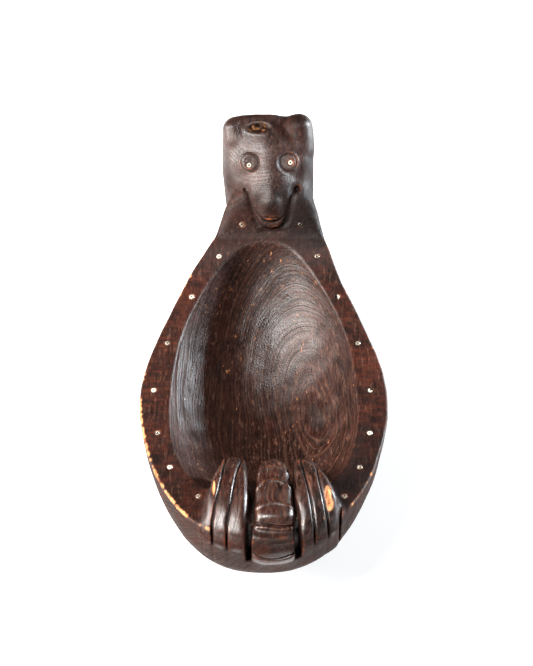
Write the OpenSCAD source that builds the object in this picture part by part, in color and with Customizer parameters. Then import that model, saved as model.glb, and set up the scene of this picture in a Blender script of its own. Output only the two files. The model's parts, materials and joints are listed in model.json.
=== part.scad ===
// Carved wooden effigy bowl: a pear-shaped vessel cut from one block of wood,
// with an animal head at the narrow end, a ribbed tail and two paws hooked over
// the wide end, and glass ring beads let into the flat rim and the eyes.
//
// Frame: millimetres, +Z up, +Y from the tail towards the head. The origin is
// under the middle of the bowl, on the surface that it stands on.

/* [Vessel] */
// Length of the pear outline, from the tail end of the rim to the nape
hull_len = 270; // [250:1:290]
// Width across the rim before the outline narrows towards the head
hull_w = 159; // [150:1:168]
// Share of the width that is lost between the belly and the neck
neck_narrowing = 0.35; // [0.3:0.01:0.4]
// Roundness of the outlines: 1 is an ellipse, lower is squarer
outline_round = 0.8; // [0.7:0.05:1]
// Height of the rim at its lowest point, beside the belly
rim_z = 68; // [64:1:72]
// Rise of the rim 100 mm from its lowest point towards the head
head_rise = 14; // [12:1:16]
// Rise of the rim 100 mm from its lowest point towards the tail
tail_rise = 7; // [5:0.5:8]

/* [Hollow] */
// Length of the opening in the rim
hollow_len = 204; // [196:1:208]
// Width of the opening before it narrows towards the head
hollow_w = 113; // [108:1:118]
// Share of the width that the opening gains at the tail and loses at the head
hollow_narrowing = 0.26; // [0.22:0.01:0.3]
// Thickness of wood under the lowest point of the hollow
floor_t = 20; // [17:1:23]

/* [Head] */
// Width across the cheeks
head_w = 58; // [54:1:62]
// Height of the crown
head_z = 130.5; // [128:0.5:134]
// Width of the muzzle at its root
muzzle_w = 27; // [24:1:30]
// Distance of the head's middle from the middle of the belly
head_shift = 4.5; // [0:0.5:6]

/* [Tail and paws] */
// Width of the tail where it leaves the hollow
tail_tip_w = 17; // [15:1:19]
// Width of the tail where it ends on the outside of the bowl
tail_end_w = 28; // [26:0.5:29]
// Number of ribs from the tip of the tail to its foot
tail_ribs = 7; // [6:1:8]
// Height of the tail and the paws above the rim at the tail
grip_rise = 9; // [7:0.5:11]
// Width of one finger of a paw
finger_w = 8.7; // [8.2:0.1:9.2]
// Number of fingers on each paw
fingers = 3; // [3:1:3]

/* [Beads] */
// Outer diameter of a glass ring bead
bead_d = 3.2; // [2.8:0.1:3.6]
// Diameter of the hole through a bead
bead_hole_d = 1.1; // [0.8:0.1:1.3]
// Height of a bead
bead_h = 2.2; // [1.8:0.1:2.6]
// Height of a bead's face above the wood around it
bead_proud = 0.25; // [0.1:0.05:0.4]

/* [Hidden] */
// rim beads from the head to the tail: distance along the bowl, and the
// distances of the left bead and the right bead from the middle
RIM_BEADS = [[93.5, -14.5, 24], [74, -29.5, 35], [44, -47, 48], [8, -62, 60.5],
             [-30, -69.5, 67.5], [-65, -66, 66], [-93, -57.5, 59], [-117, -39.5, 49]];
bead_rows = len(RIM_BEADS);

// the pear outline, from its middle
hull_y = -17;
hull_a = hull_len / 2;
belly_end = -0.25;
neck_start = 0.9;
// the opening, from its middle
hollow_y = -18;
hollow_a = hollow_len / 2;
// lowest point of the rim, and the bend of the body towards the head
low_y = -8;
bend_start = 50;
bend_end = 105;
// where the rim sweeps up at the throat to meet the cheeks, and by how much
throat_y = 86;
cheek_y = 108;
throat_rise = 16;
// how the sides and the ends of the outside turn under, and where the flat base
// cuts them
side_turn = 2;
end_turn = 3;
base_cut = 0.944;
// how the walls of the hollow close in as they go down: the power of the depth, and
// the power of what that leaves
hollow_turn = 1.2;
hollow_taper = 0.625;
// the share of the body's sideways bend that the hollow takes
hollow_bend = 0.4;
// where the opening swells towards the head, by how much and over what share
shoulder_at = 0.4;
shoulder_w = 3.2;
shoulder_reach = 0.4;
// resolution of the lofted shapes
ring_points = 80;
outer_levels = 11;
hollow_levels = 9;
// the levels of the hollow lie at the sines of even steps up to this angle, which
// leaves a small flat floor
hollow_last = 86;
// the skull, as balls at the cheeks, the crown, the nape and the throat
cheek = [113, 95.5];
cheek_r = 9;
crown_r = 8;
crown = [148, head_z - crown_r];
nape = [144, 90];
nape_r = 11;
throat = [116, 67];
throat_r = 14.5;
keel = [84, 48];
keel_r = 20;
// the face is the flat between the cheeks and the crown
face_slope = atan2(crown.y - cheek.y, crown.x - cheek.x)
    - asin((cheek_r - crown_r) / norm(crown - cheek));
face_y = 123.6;
face_z = cheek.y + cheek_r / cos(face_slope) + (face_y - cheek.x) * tan(face_slope);
// the beads of the eyes: place across and up the face, and the centres of the
// incised rings around them
eye_bead_at = [[-14.2, -1.7], [13.1, 0]];
eye_ring_at = [[-13.8, 0.2], [11.7, 0.2]];
eye_ring_r = 5.4;
// the arch of the paws and the tail over the rim: its ends along the bowl, the
// place where the rim sets its height, its thickness, and how deep each side bends
grip_in_y = -86;
grip_out_y = -156;
grip_rim_y = -136;
grip_t = 10;
grip_drop = 26;
paw_drop = 16;
grip_leg = 30;
grip_tuck = 14;
// the angles at which the arch starts inside the hollow and ends outside
grip_start = -50;
grip_end = 205;
// the tail's middle line, the share of the arch that it follows, and its foot
tail_x = 6;
tail_share = 0.89;
tail_foot_z = 44;
tail_foot_in = 5;
// the paws at the crest of their arches, their lean, how far a finger runs on to
// the outer wall, how far it stands out there, and how thin it is at its ends
paw_x = [-21.3, 31.4];
paw_lean = [9, -9];
finger_reach = 27;
finger_proud = 1.5;
finger_tip = 0.55;
// the channels beside the tail: distance from its middle, radius and side view
channel_x = [-15, 14.3];
channel_r = 1.6;
channel_line = [[-158, 96], [-162, 64], [-153, 58], [-145, 65], [-139, 92]];
// room that is kept clear over a bead
socket_room = 6;

// ---- curves ----

function smooth(a, b, v) = let (t = min(1, max(0, (v - a) / (b - a)))) t * t * (3 - 2 * t);

// height of the rim surface at a distance along the bowl, up to the throat
function rim_height(y) =
    let (t = (y - low_y) / 100)
    rim_z + (t > 0 ? head_rise : tail_rise) * t * t + throat_rise * smooth(throat_y, cheek_y, y);

// sideways bend of the whole carving
function spine_x(y) = head_shift * smooth(bend_start, bend_end, y);

// half width of the outside and of the opening, c running from -1 at the tail to 1
function hull_half(c) = hull_w / 2 * (1 - neck_narrowing * smooth(belly_end, neck_start, c));
function hollow_half(c) = hollow_w / 2 * (1 - hollow_narrowing * c)
    + shoulder_w * exp(-pow((c - shoulder_at) / shoulder_reach, 2));

// how far an outline has shrunk at a share t of the depth
function turned(t, n) = pow(max(0, 1 - pow(t, n)), 1 / n);

// one ring of the outside, at a share t of the way down to a point
function outer_ring(t) =
    [for (i = [0 : ring_points - 1])
        let (a = 360 * i / ring_points,
             c = cos(a),
             y = hull_y + hull_a * c * turned(t, end_turn),
             x = hull_half(c) * sign(sin(a)) * pow(abs(sin(a)), outline_round) * turned(t, side_turn))
        [x + spine_x(y), y, rim_height(y) * max(0, 1 - t / base_cut)]];

// one ring of the hollow, at a share t of its depth
function hollow_ring(t) =
    [for (i = [0 : ring_points - 1])
        let (a = 360 * i / ring_points,
             s = pow(1 - pow(t, hollow_turn), hollow_taper),
             c = cos(a) * s,
             y = hollow_y + hollow_a * c,
             x = hollow_half(c) * sign(sin(a)) * pow(abs(sin(a)) * s, outline_round),
             rim = rim_height(y))
        [x + spine_x(y) * hollow_bend, y, rim - (rim - floor_t) * t]];

// the arch of a grip: a squarish hoop over the rim, u from 0 (in the hollow) to
// 1 (on the outside), reaching out to out_y, where it has dropped by out_drop,
// and inset by half of a thickness t
function arch(u, out_y = grip_out_y, out_drop = grip_drop, t = grip_t) =
    let (a = grip_start + (grip_end - grip_start) * u,
         c = cos(a),
         s = sin(a),
         half = (grip_in_y - out_y - t) / 2,
         under = s < 0 ? grip_tuck * s * s * sign(c) : 0,
         top = rim_height(grip_rim_y) + grip_rise,
         drop = c > 0 ? grip_drop : out_drop)
    [(grip_in_y + out_y) / 2 + half * sign(c) * pow(abs(c), outline_round) - under,
     top - drop + (s > 0 ? drop - t / 2 : grip_leg) * sign(s) * pow(abs(s), outline_round)];

// where an arch is highest, along the bowl
function crest_y(out_y) = (grip_in_y + out_y) / 2;

// where the outer wall is at the rim, at a distance x from the middle
function wall_y(x) =
    hull_y - hull_a * sqrt(1 - pow(2 * abs(x) / hull_w, 2 / outline_round));

// how far out a finger at the crest place x has to reach to end in the wall
function finger_out_y(x, lean) = wall_y(x - finger_reach * tan(lean)) - finger_proud;

// ---- lofts ----

// a closed solid through rings of equal, even point counts, each ring being
// symmetric about its first point; the ends are closed by rungs from side to side
module loft(rings) {
    n = len(rings[0]);
    top = (len(rings) - 1) * n;
    points = [for (r = rings) each r];
    sides = [for (j = [0 : n : top - n], i = [0 : n - 1])
        let (k = (i + 1) % n)
        each [[j + i, j + k, j + n + k], [j + i, j + n + k, j + n + i]]];
    rungs = [for (i = [0 : n / 2 - 1]) each concat(
        i < n / 2 - 1 ? [[i, i + 1, n - 1 - i]] : [],
        i > 0 ? [[i, n - 1 - i, n - i]] : [])];
    caps = [for (r = rungs) each [[r[2], r[1], r[0]], [for (p = r) top + p]]];
    polyhedron(points, concat(sides, caps), convexity = 8);
}

// the outside of the vessel, up to the surface of the rim
module vessel() {
    loft([for (j = [outer_levels : -1 : 0]) outer_ring(base_cut * sin(90 * j / outer_levels))]);
}

// the hollow, with room over it up to the height h
module hollow(h) {
    depths = [for (j = [hollow_levels : -1 : 0]) hollow_ring(sin(hollow_last * j / hollow_levels))];
    loft(concat(depths, [[for (p = depths[hollow_levels]) [p.x, p.y, h]]]));
}

// mirrored pair of balls at the point p of the side view, w apart over all
module ball_pair(w, p, r) {
    for (side = [-1, 1])
        translate([head_shift + side * (w / 2 - r), p.x, p.y])
            sphere(r, $fn = 20);
}

module skull() {
    hull() {
        ball_pair(head_w - 4, crown, crown_r);
        ball_pair(head_w, cheek, cheek_r);
        ball_pair(head_w - 2, nape, nape_r);
        ball_pair(head_w + 3, throat, throat_r);
    }
    // the neck, down to the keel
    hull() {
        ball_pair(head_w - 2, nape, nape_r);
        ball_pair(head_w + 3, throat, throat_r);
        ball_pair(head_w + 8, keel, keel_r);
    }
}

// a lobe from a tip at the crown down along the side of the head
module ear(x, tip, tip_r, root, root_r) {
    hull() {
        translate([head_shift + x, tip.x, tip.y])
            sphere(tip_r, $fn = 18);
        translate([head_shift + x, root.x, root.y])
            sphere(root_r, $fn = 18);
    }
}

// the right ear stands up as a lobe, the left one is worn down to a corner
module ears() {
    ear(19.5, crown + [-1, 2.5], 6.5, crown + [-8, -8], 7);
    ear(-20, crown + [-1, -0.5], 7, crown + [-10, -7], 7);
}

module muzzle() {
    // bridge and nose
    hull() {
        ball_pair(muzzle_w, [112, 98], 4);
        ball_pair(muzzle_w - 8, [97.5, 97.5], 5.5);
        ball_pair(muzzle_w - 9, [126, 111], 5);
    }
    // lower jaw
    hull() {
        ball_pair(muzzle_w - 11, [96.5, 91], 4.2);
        ball_pair(muzzle_w - 1, [108, 89], 5);
    }
}

// one finger, hooked over the rim: x at the crest, lean in degrees
module finger(x, lean) {
    steps = 16;
    sides = 10;
    out_y = finger_out_y(x, lean);
    loft([for (j = [0 : steps])
        let (u = j / steps,
             p = arch(u, out_y, paw_drop),
             q = arch(u + 0.01, out_y, paw_drop) - arch(u - 0.01, out_y, paw_drop),
             n = [-q.y, q.x] / norm(q),
             end = min(1, finger_tip + 3 * min(u, 1 - u)),
             mid_x = x + (p.x - crest_y(out_y)) * tan(lean))
        [for (i = [0 : sides - 1])
            let (a = -360 * i / sides,
                 w = finger_w / 2 * cos(a) * end,
                 h = grip_t / 2 * sin(a) * end)
            [mid_x + w, p.x - n.x * h, p.y - n.y * h]]]);
}

// the wood that fills the hook under a paw or the tail
module grip_core(x, lean, w, out_y, out_drop) {
    middle = crest_y(out_y);
    translate([x, middle, 0])
        rotate([90, 0, 90 - lean])
            linear_extrude(w, center = true)
                polygon([for (j = [0 : 12])
                    arch(j / 12, out_y, out_drop, 1.5 * grip_t) - [middle, 0]]);
}

module paw(side) {
    x = paw_x[side];
    lean = paw_lean[side];
    for (k = [0 : fingers - 1])
        finger(x + (k - (fingers - 1) / 2) * finger_w, lean);
    grip_core(x, lean, finger_w * (fingers - 1), finger_out_y(x, lean), paw_drop);
}

// a point of the tail's middle line, u from 0 at the tip to 1 at the foot
function tail_line(u) =
    let (bend = 0.8)
    u < bend ? arch(u / bend * tail_share)
             : let (t = (u - bend) / (1 - bend), a = arch(tail_share))
               [a.x + tail_foot_in * t * t, a.y * (1 - t) + tail_foot_z * t];

// one ring of the tail at u, swelled between the grooves that part the ribs
module tail_slice(u, grow) {
    p = tail_line(u);
    q = tail_line(u + 0.01) - tail_line(u - 0.01);
    half = (tail_tip_w * (1 - u) + tail_end_w * u) / 2;
    translate([tail_x, p.x, p.y])
        rotate([atan2(q.y, q.x), 0, 0])
            scale([half / grip_t * 2 * grow, 0.05, grow])
                sphere(grip_t / 2, $fn = 16);
}

module tail() {
    grip_core(tail_x, 0, 0.75 * tail_tip_w, grip_out_y, grip_drop);
    for (k = [0 : tail_ribs - 1])
        hull()
            for (t = [0.02, 0.3, 0.7, 0.98])
                tail_slice((k + t) / tail_ribs, t > 0.1 && t < 0.9 ? 1.06 : 0.92);
}

// the two deep channels between the tail and the paws, on the outside
module tail_channels() {
    for (x = channel_x)
        hull()
            for (p = channel_line)
                translate([tail_x + x, p.x, p.y])
                    sphere(channel_r, $fn = 12);
}

// ---- beads ----

// a place on the rim surface, facing along the surface's normal
module on_rim(x, y) {
    slope = atan((rim_height(y + 1) - rim_height(y - 1)) / 2);
    translate([x, y, rim_height(y)])
        rotate([slope, 0, 0])
            children();
}

// a place on the face, across and up from its middle
module on_face(at) {
    translate([head_shift, face_y, face_z])
        rotate([face_slope, 0, 0])
            translate([at.x, at.y, 0])
                children();
}

// a glass ring bead with its base on the bottom of its socket
module bead() {
    edge = 0.35;
    r = bead_d / 2;
    hole = bead_hole_d / 2;
    color("ivory")
        translate([0, 0, bead_proud - bead_h])
            rotate_extrude($fn = 24)
                polygon([[hole, edge / 2], [hole + edge / 2, 0], [r - edge, 0], [r, edge],
                         [r, bead_h - edge], [r - edge, bead_h], [hole + edge / 2, bead_h],
                         [hole, bead_h - edge / 2]]);
}

module socket() {
    translate([0, 0, bead_proud - bead_h])
        cylinder(h = bead_h + socket_room, r = bead_d / 2 + 0.05, $fn = 14);
}

// the incised ring around an eye
module eye_ring() {
    rotate_extrude($fn = 24)
        translate([eye_ring_r, 0])
            circle(0.7, $fn = 6);
}

module rim_bead(side, i) {
    b = RIM_BEADS[i];
    on_rim(b[side + 1], b[0])
        bead();
}

module eye_bead(side) {
    on_face(eye_bead_at[side])
        bead();
}

// ---- the carving, all one piece of wood ----

module carved_body() {
    color([0.20, 0.11, 0.07])
        difference() {
            union() {
                difference() {
                    union() {
                        vessel();
                        skull();
                    }
                    hollow(head_z);
                }
                ears();
                muzzle();
                paw(0);
                paw(1);
                tail();
            }
            tail_channels();
            for (b = RIM_BEADS, side = [0, 1])
                on_rim(b[side + 1], b[0])
                    socket();
            for (at = eye_bead_at)
                on_face(at)
                    socket();
            for (at = eye_ring_at)
                on_face(at)
                    eye_ring();
        }
}

carved_body();
for (i = [0 : bead_rows - 1]) {
    rim_bead(0, i);
    rim_bead(1, i);
}
eye_bead(0);  // eye_bead_left
eye_bead(1);  // eye_bead_right
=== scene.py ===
import json
import math
import bpy
import numpy as np
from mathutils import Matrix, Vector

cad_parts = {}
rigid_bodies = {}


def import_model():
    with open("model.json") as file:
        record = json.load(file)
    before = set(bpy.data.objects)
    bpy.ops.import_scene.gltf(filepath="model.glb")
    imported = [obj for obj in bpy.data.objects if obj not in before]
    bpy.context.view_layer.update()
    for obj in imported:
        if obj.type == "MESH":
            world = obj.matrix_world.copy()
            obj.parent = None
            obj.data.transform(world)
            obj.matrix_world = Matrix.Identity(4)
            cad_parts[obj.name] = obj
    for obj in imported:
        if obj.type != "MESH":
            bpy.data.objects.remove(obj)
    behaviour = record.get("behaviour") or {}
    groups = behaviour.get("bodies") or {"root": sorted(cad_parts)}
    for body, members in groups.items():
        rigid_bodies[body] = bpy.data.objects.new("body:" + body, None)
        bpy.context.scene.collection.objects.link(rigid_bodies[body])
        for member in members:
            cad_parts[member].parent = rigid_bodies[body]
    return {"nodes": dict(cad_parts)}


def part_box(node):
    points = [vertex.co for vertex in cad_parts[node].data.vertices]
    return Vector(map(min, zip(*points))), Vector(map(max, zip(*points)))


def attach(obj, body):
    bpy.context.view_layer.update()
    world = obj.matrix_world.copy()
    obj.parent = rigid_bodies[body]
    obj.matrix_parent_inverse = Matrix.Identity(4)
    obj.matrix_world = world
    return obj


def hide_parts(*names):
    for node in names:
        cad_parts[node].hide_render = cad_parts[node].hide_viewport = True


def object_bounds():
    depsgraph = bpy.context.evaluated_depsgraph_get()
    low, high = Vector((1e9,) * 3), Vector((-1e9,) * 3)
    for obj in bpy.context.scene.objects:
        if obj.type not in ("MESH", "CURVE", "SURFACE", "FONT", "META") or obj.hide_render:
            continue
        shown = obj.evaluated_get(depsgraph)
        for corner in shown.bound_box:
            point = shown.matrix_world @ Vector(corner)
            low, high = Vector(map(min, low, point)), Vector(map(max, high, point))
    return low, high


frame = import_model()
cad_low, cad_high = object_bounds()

from concurrent.futures import ThreadPoolExecutor
from mathutils import Vector

MM = 0.001
REAL = np.float32
# the value of a cut's field where there is no cut
FAR = 99.0

# ---------------------------------------------------------------- the vessel
# lengths in millimetres, in the part's own frame: +Y to the head, +Z up; the
# vessel's and the hollow's formulas are those of the CAD model

HULL_Y, HULL_A, HULL_HALF = -17.0, 135.0, 79.5
HOLLOW_Y, HOLLOW_A, HOLLOW_HALF = -18.0, 102.0, 56.5
RIM_Z, HEAD_RISE, TAIL_RISE, THROAT_RISE, LOW_Y = 68.0, 14.0, 7.0, 16.0, -8.0
BASE_CUT, FLOOR_T = 0.944, 20.0
HEAD_X = 4.5
FACE_Y, FACE_Z = 123.6, 114.5
FACE_COS, FACE_SIN = 0.805, 0.593
# how much of the spine's bend the hollow takes, and the power of the outline seen from above
HOLLOW_BEND = 0.4
OUTLINE = 2.5


def smooth(a, b, v):
    t = np.clip((v - a) / (b - a), 0, 1)
    return t * t * (3 - 2 * t)


def bell(v, width):
    return np.exp(-(v / width) ** 2)


def join(a, b, k):
    """Union of two fields, rounded over k."""
    h = np.clip(0.5 + 0.5 * (b - a) / k, 0, 1)
    return b + (a - b) * h - k * h * (1 - h)


def meet(a, b, k):
    """Intersection of two fields, rounded over k."""
    return -join(-a, -b, k)


def along(table, key, at):
    """A value from a table of a few places, straight between them."""
    return np.interp(at, table["at"], table[key]).astype(REAL)


def rim_height(y):
    t = (y - LOW_Y) / 100
    return (RIM_Z + np.where(t > 0, HEAD_RISE, TAIL_RISE) * t * t
            + THROAT_RISE * smooth(86, 108, y))


def spine_x(y):
    return HEAD_X * smooth(50, 105, y)


def hull_half(c):
    return HULL_HALF * (1 - 0.35 * smooth(-0.25, 0.9, c))


def hollow_half(c):
    return HOLLOW_HALF * (1 - 0.26 * c) + 3.2 * bell(c - 0.4, 0.4)


def hull_share(x, y, z):
    rim = rim_height(y)
    c = (y - HULL_Y) / HULL_A
    wide = (np.abs(x - spine_x(y)) / hull_half(c)) ** OUTLINE
    q = wide + c * c + 1e-6
    e = c * c / q
    t = np.maximum(0, (1 - z / rim) * BASE_CUT)
    return q ** (0.8 + 0.7 * e) + t ** (2 + e) - 1


def hollow_share(x, y, z):
    rim = rim_height(y)
    c = (y - HOLLOW_Y) / HOLLOW_A
    half = hollow_half(np.clip(c, -1.3, 1.3))
    wide = (np.abs(x - HOLLOW_BEND * spine_x(y)) / half) ** OUTLINE
    t = np.maximum(0, (rim - z) / (rim - FLOOR_T))
    return (wide + c * c) ** 0.8 + t ** 1.2 - 1


def as_distance(share, x, y, z):
    """Turn a share field into a distance near its surface."""
    d = 0.5
    f = share(x, y, z)
    gx = (share(x + d, y, z) - f) / d
    gy = (share(x, y + d, z) - f) / d
    gz = (share(x, y, z + d) - f) / d
    return f / np.maximum(np.sqrt(gx * gx + gy * gy + gz * gz), 0.004)


def waves(n, low, high, seed):
    """Seeded plane waves: directions times wave number, and phases."""
    r = np.random.default_rng(seed)
    d = r.normal(size=(n, 3))
    d /= np.linalg.norm(d, axis=1, keepdims=True)
    length = np.exp(r.uniform(np.log(low), np.log(high), n))
    return (d * (2 * np.pi / length)[:, None]).astype(REAL), r.uniform(0, 6.28, n).astype(REAL)


def wavy(x, y, z, w):
    total = 0
    for k, phase in zip(*w):
        total = total + np.sin(x * k[0] + y * k[1] + z * k[2] + phase)
    return total / math.sqrt(len(w[1]))


HAND = waves(9, 16, 46, 5)
CHISEL = waves(10, 5, 12, 6)


# ---------------------------------------------------------------- the head

# places on the head are (across, up the face, height over the face)
# incised rings round the eyes: centre, radii, turn in radians, and what sets the
# wobble of each ring apart
EYE_RINGS = (dict(at=(-13.8, 0.2), radii=(5.7, 5.9), turn=0.25, wobble=-14.2),
             dict(at=(11.7, 0.2), radii=(5.8, 5.5), turn=-0.3, wobble=13.1))
# the head's sides: distance from its middle, at places along the bowl
LEFT_SIDE = dict(at=(90, 98, 105, 112, 126, 140, 148, 156),
                 out=(31.6, 28.6, 27.2, 27.4, 30.2, 32.2, 32.0, 31.0))
RIGHT_SIDE = dict(at=(90, 98, 105, 125, 156), out=(32.3, 29.2, 28.2, 28.6, 28.9))
CROWN_Z, EAR_Z, NAPE_Y, THROAT_Y = 131.2, 130.8, 156.6, 103.0
# sticks: one end, its radius, the other end, its radius
EAR = ((19.4, 24.6, -7.2), 7.4, (21.6, 11.0, -10.4), 6.2)
WORN_EAR = ((-25.8, 23.6, -7.0), 5.4, (-25.0, 17.0, -8.0), 5.4)
BRIDGE = ((-1.2, 11.0, -16.2), 15.0, (-0.4, -10.0, -8.0), 12.0)
NOSE = ((-0.4, -10.0, -8.0), 12.0, (0.2, -26.2, -1.9), 7.3)
# the corners of the mouth, and the line between the lips
MOUTH_CUTS = (((-17.2, -17.8, -2.0), 0.9, (-15.4, -19.2, 0.4), 0.8),
              ((17.6, -16.9, -3.0), 1.9, (15.2, -19.6, 0.6), 1.4),
              ((15.0, -20.0, 0.2), 1.0, (13.0, -26.5, 0.2), 0.6),
              ((-5.6, -36.2, 0.9), 0.35, (6.2, -36.5, 0.9), 0.35))
# half width of the lower jaw, at places up the face
JAW = dict(at=(-43.6, -42, -39, -35, -24, -10, 4), half=(0.5, 5.6, 7.8, 9.3, 11.4, 13.6, 15.0))
JAW_END, JAW_UNDER = -43.4, -9.5
KNOT_AT, KNOT_RADII = (-7.5, 23.4), (8.2, 3.8)


def face_axes(y, z):
    """Distance up the face and height over its plane."""
    s = (y - FACE_Y) * FACE_COS + (z - FACE_Z) * FACE_SIN
    h = -(y - FACE_Y) * FACE_SIN + (z - FACE_Z) * FACE_COS
    return s, h


def stick(x, s, h, a, ra, b, rb):
    """A round stick from a to b with its own radius at each end."""
    d = [b[i] - a[i] for i in range(3)]
    long = sum(v * v for v in d)
    t = np.clip(((x - a[0]) * d[0] + (s - a[1]) * d[1] + (h - a[2]) * d[2]) / long, 0, 1)
    gap = np.sqrt((x - a[0] - t * d[0]) ** 2 + (s - a[1] - t * d[1]) ** 2
                  + (h - a[2] - t * d[2]) ** 2)
    return gap - (ra + (rb - ra) * t)


def head(x, y, z):
    xh = x - HEAD_X
    s, h = face_axes(y, z)
    side = np.where(xh < 0, -xh - along(LEFT_SIDE, "out", y), xh - along(RIGHT_SIDE, "out", y))
    face = (h + 4.2 * np.abs(xh / 29) ** 2.6
            - 1.3 * bell(xh + 6, 10) * bell(s - 10, 9)
            - 0.8 * bell(xh - 5, 9) * bell(s - 12, 9)
            + 0.7 * bell(xh - 1, 4) * bell(s - 20, 8)
            + 3.0 * (1 - smooth(-15, 3, s)) * smooth(7, 17, np.abs(xh)))
    crown = z - CROWN_Z + 0.002 * (xh + 2) ** 2 + 1.2 * bell(xh - 10, 4)
    f = meet(face, crown, 13)
    f = meet(f, side, 11)
    f = meet(f, y - NAPE_Y + 0.06 * np.maximum(0, 120 - z), 7)
    # the slope under the head, and the throat
    f = meet(f, 0.67 * y - 0.7425 * z - 40.64, 12)
    f = meet(f, THROAT_Y - y + 0.25 * np.maximum(0, z - 88), 7)
    # the ear that stands, and the worn corner of the other
    f = f + 0.9 * bell(xh - 11.5 + 0.25 * (s - 20), 5) * smooth(9, 20, s) * smooth(-12, -6, h)
    f = join(f, meet(stick(xh, s, h, *EAR), z - EAR_Z, 1.5), 4.6)
    f = join(f, stick(xh, s, h, *WORN_EAR), 5.0)
    return f, xh, s, h


def snout(f, xh, s, h):
    # the lower jaw, a flat plate that runs out under the muzzle
    lean = xh - 0.02 * (-20 - s)
    half = along(JAW, "half", s)
    jaw = meet(np.abs(lean) - half, JAW_END - s, 3)
    jaw = meet(jaw * 0.85, h + 0.3 - 0.10 * (s + 30) + 0.4 * np.maximum(0, s + 21), 2.2)
    jaw = meet(jaw, JAW_UNDER - h, 3)
    jaw = meet(jaw, s + 8, 8)
    f = join(f, jaw, 2.4)
    # the upper lip, over it
    lip = np.sqrt((lean / 8.7) ** 2 + (np.maximum(0, -30 - s) / 8.4) ** 2 + 1e-6)
    lip = meet((lip - 1) * 8, h - 1.3 + 0.02 * xh * xh, 1.8)
    lip = meet(meet(lip, s + 22, 5), JAW_UNDER - h, 3)
    seam = (np.sqrt((lean / 9.8) ** 2 + (np.maximum(0, -30 - s) / 9.2) ** 2 + 1e-6) - 1) * 9
    f = f + 0.45 * bell(seam, 0.45) * (1 - smooth(-35, -29, s)) * smooth(-4, -1, h)
    # the hollows beside and under the jaw
    beside = np.abs(lean) - half
    low = smooth(12, 19, -s) * (1 - smooth(38, 44, -s))
    f = f + (1.3 + 0.7 * smooth(0, 8, lean)) * bell(beside - 2.2, 2.0) * low * smooth(-16, -10, h)
    f = f + bell(s + 45.0, 1.6) * (1 - smooth(4, 11, np.abs(lean))) * smooth(-16, -10, h)
    f = join(f, lip, 0.8)
    # bridge and nose
    f = join(join(f, stick(xh, s, h, *BRIDGE), 9), stick(xh, s, h, *NOSE), 4)
    for cut in MOUTH_CUTS:
        f = meet(f, -stick(xh, s, h, *cut), 0.8)
    return f


def knot_reach(xh, s):
    """Distance from the middle of the knot in the crown, 1 at its edge."""
    return np.sqrt(((xh - KNOT_AT[0]) / KNOT_RADII[0]) ** 2 + ((s - KNOT_AT[1]) / KNOT_RADII[1]) ** 2)


def face_marks(f, xh, s, h):
    front = smooth(-9, -5, h)
    for eye in EYE_RINGS:
        u, v = xh - eye["at"][0], s - eye["at"][1]
        # the face is flat round the eye
        flat = (1 - smooth(4.0, 8.5, np.sqrt(u * u + v * v))) * front
        f = f * (1 - flat) + h * flat
        c, t = math.cos(eye["turn"]), math.sin(eye["turn"])
        u, v = u * c + v * t, v * c - u * t
        angle = np.arctan2(v, u)
        ring = np.sqrt((u / eye["radii"][0]) ** 2 + (v / eye["radii"][1]) ** 2)
        wobble = np.sin(3 * angle + eye["wobble"])
        ring = ring * (1 + 0.035 * np.sin(2 * angle + 1) + 0.03 * wobble)
        gap = (ring - 1) * 5.6
        deep = 0.55 + 0.22 * np.cos(angle) + 0.16 * wobble
        f = f - 0.35 * (1 - smooth(0.7, 0.95, ring)) * front
        f = f + (deep * bell(gap, 0.42) - 0.2 * bell(gap - 1.2, 0.55)) * front
    pit = knot_reach(xh, s)
    hole = 2.2 * (1 - smooth(0.2, 1.05, pit)) * (1 + 0.35 * np.sin(1.3 * xh) * np.sin(1.1 * s))
    f = f + (hole - 0.25 * bell(pit - 1.2, 0.25)) * front
    return f


# ---------------------------------------------------------------- paws and tail

# the arch of the paws and the tail: height of its ends, its rise, and its power
GRIP_Z0, GRIP_TOP, GRIP_POWER = 62.5, 26.0, 2.5
# inner and outer end of each arch over the rim, its middle line and half width, the
# cuts between the fingers as places across at CUT_Y, a short fourth cut, and a seed
CUT_Y = (-143, -95)
PAWS = (dict(ends=(-85.0, -157.4), at=(-143, -137, -124, -110, -95),
             x=(-23.0, -22.6, -21.4, -20.2, -18.4), half=(13.6, 13.2, 12.6, 10.9, 7.8),
             cuts=((-22.8, -30.6), (-13.9, -21.6)), short=None, seed=11),
        dict(ends=(-86.0, -157.4), at=(-143, -137, -124, -110, -98),
             x=(34.2, 33.8, 31.6, 28.6, 25.2), half=(12.9, 12.9, 12.8, 10.6, 7.2),
             cuts=((22.6, 30.8), (30.6, 38.9)), short=45.6, seed=12))
TAIL = dict(ends=(-87.0, -155.6), at=(-156, -140, -118, -99, -90),
            x=(6.0, 6.7, 6.0, 5.5, 5.4), half=(13.9, 12.6, 11.1, 9.0, 7.6))
# angles round the tail's arch of its sharp steps, its polished dome and its grooves
TAIL_STEPS, TAIL_DOME = (66.0, 85.0, 104.0), 114.0
TAIL_GROOVES = (127.0, 147.0, 171.0)
TAIL_FOOT = 43.0
# the channels beside the tail: places across at CHANNEL_Y, and half width
CHANNEL_Y = (-154, -140, -110)
CHANNELS = (((-9.3, -8.2, -7.8), 1.6), ((21.3, 19.4, 18.3), 2.0))


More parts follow.
